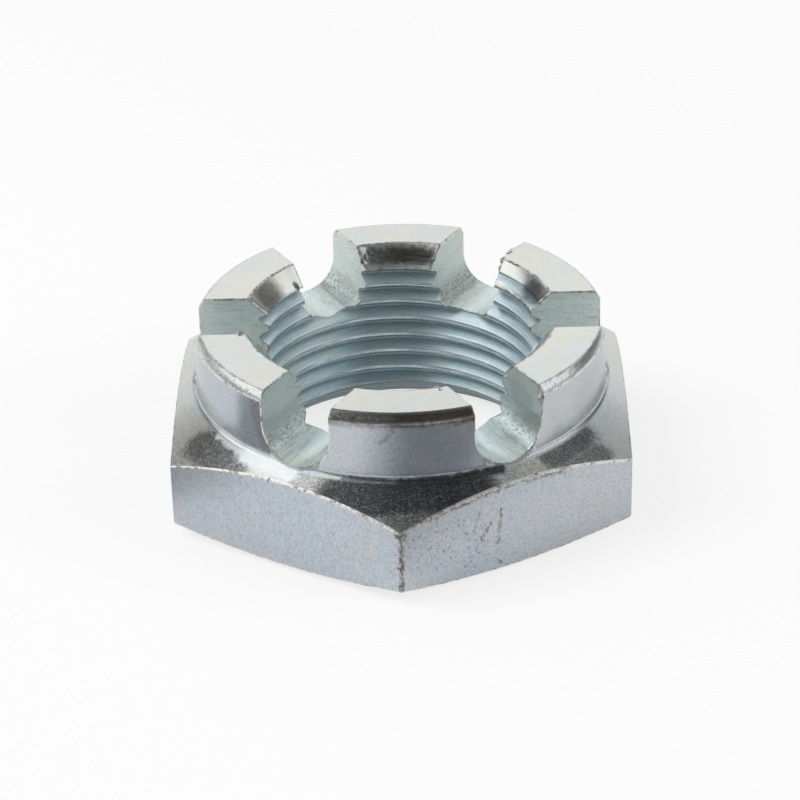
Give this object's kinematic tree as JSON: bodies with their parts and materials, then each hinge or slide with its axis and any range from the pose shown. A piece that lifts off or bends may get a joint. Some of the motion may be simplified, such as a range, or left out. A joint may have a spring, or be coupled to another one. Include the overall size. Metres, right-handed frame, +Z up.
{
  "type": "castle nut",
  "caption": "Low slotted hexagon nut with a castellated crown; a split pin through bolt and slots stops it turning.",
  "frame": {"origin": "centre of the flat bearing face, which is also the bottom centre of the nut", "axes": "+Z up the thread's axis towards the crown; the hexagon's corners lie on the Y axis and two of its flats face +X and -X"},
  "size_m": [0.046, 0.053, 0.018],
  "materials": {
    "zinc_plate": "bright bluish zinc plating over turned and milled steel, with small scratches and darkened edges"
  },
  "bodies": {
    "root": {"castle_nut": "zinc_plate"}
  },
  "joints": []
}
